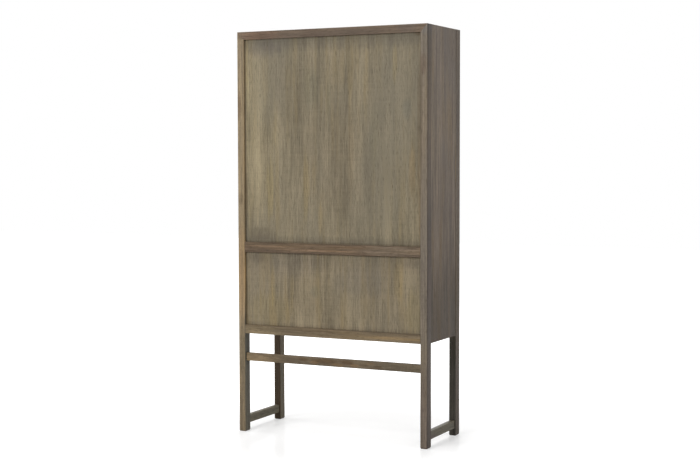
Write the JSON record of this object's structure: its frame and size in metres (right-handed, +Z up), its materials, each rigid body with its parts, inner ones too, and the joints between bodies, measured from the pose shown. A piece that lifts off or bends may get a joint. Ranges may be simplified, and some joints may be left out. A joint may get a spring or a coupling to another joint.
{
  "type": "bar cabinet",
  "caption": "Tall oak bar cabinet on long legs, with panelled doors over bottle drawers, shelves and a stemware rack inside.",
  "frame": {"origin": "on the floor, under the middle of the whole cabinet's width and depth, pulls included", "axes": "+Z up, the doors and drawers face -Y, +X to the right of someone who faces the doors"},
  "size_m": [1.098, 0.46, 2.134],
  "materials": {
    "oak_frame": "wire-brushed grey-brown oak, matt",
    "oak_panel": "wire-brushed grey-brown oak veneer, matt",
    "oak_interior": "smooth grey-brown oak, matt",
    "dark_iron": "blackened iron, waxed",
    "aged_brass": "aged, dull"
  },
  "bodies": {
    "cabinet": {"front_left_post": "oak_frame", "front_right_post": "oak_frame", "rear_left_post": "oak_frame", "rear_right_post": "oak_frame", "front_top_rail": "oak_frame", "front_middle_rail": "oak_frame", "front_bottom_rail": "oak_frame", "rear_top_rail": "oak_frame", "rear_middle_rail": "oak_frame", "rear_bottom_rail": "oak_frame", "rear_stretcher": "oak_frame", "left_foot_stretcher": "oak_frame", "right_foot_stretcher": "oak_frame", "left_side_panel": "oak_panel", "right_side_panel": "oak_panel", "upper_back_panel": "oak_panel", "lower_back_panel": "oak_panel", "top_panel": "oak_interior", "bar_counter": "oak_interior", "cabinet_floor": "oak_interior", "centre_partition": "oak_interior", "low_shelf": "oak_interior", "high_shelf": "oak_interior", "stemware_rack": "oak_interior", "left_inner_runner": "oak_interior", "left_outer_runner": "oak_interior", "right_inner_runner": "oak_interior", "right_outer_runner": "oak_interior", "left_lower_post_leaf": "aged_brass", "left_upper_post_leaf": "aged_brass", "right_lower_post_leaf": "aged_brass", "right_upper_post_leaf": "aged_brass"},
    "left_door": {"left_door_inner_stile": "oak_frame", "left_door_outer_stile": "oak_frame", "left_door_top_rail": "oak_frame", "left_door_bottom_rail": "oak_frame", "left_door_panel": "oak_panel", "left_door_pull": "dark_iron", "left_lower_door_leaf": "aged_brass", "left_upper_door_leaf": "aged_brass"},
    "left_drawer": {"left_drawer_front": "oak_panel", "left_drawer_inner_side": "oak_interior", "left_drawer_outer_side": "oak_interior", "left_drawer_back": "oak_interior", "left_drawer_bottom": "oak_interior", "left_drawer_pull": "dark_iron"},
    "right_door": {"right_door_inner_stile": "oak_frame", "right_door_outer_stile": "oak_frame", "right_door_top_rail": "oak_frame", "right_door_bottom_rail": "oak_frame", "right_door_panel": "oak_panel", "right_door_pull": "dark_iron", "right_lower_door_leaf": "aged_brass", "right_upper_door_leaf": "aged_brass"},
    "right_drawer": {"right_drawer_front": "oak_panel", "right_drawer_inner_side": "oak_interior", "right_drawer_outer_side": "oak_interior", "right_drawer_back": "oak_interior", "right_drawer_bottom": "oak_interior", "right_drawer_pull": "dark_iron"}
  },
  "joints": [
    {"name": "left_door_hinge", "type": "hinge", "parent": "cabinet", "child": "left_door", "pos_m": [-0.5095, -0.2057, 1.5575], "axis": [0, 0, -1], "range_deg": [0, 175]},
    {"name": "right_door_hinge", "type": "hinge", "parent": "cabinet", "child": "right_door", "pos_m": [0.5095, -0.2057, 1.5575], "axis": [0, 0, 1], "range_deg": [0, 175]},
    {"name": "left_drawer_slide", "type": "slide", "parent": "cabinet", "child": "left_drawer", "axis": [0, -1, 0], "range_m": [0, 0.26]},
    {"name": "right_drawer_slide", "type": "slide", "parent": "cabinet", "child": "right_drawer", "axis": [0, -1, 0], "range_m": [0, 0.26]}
  ]
}
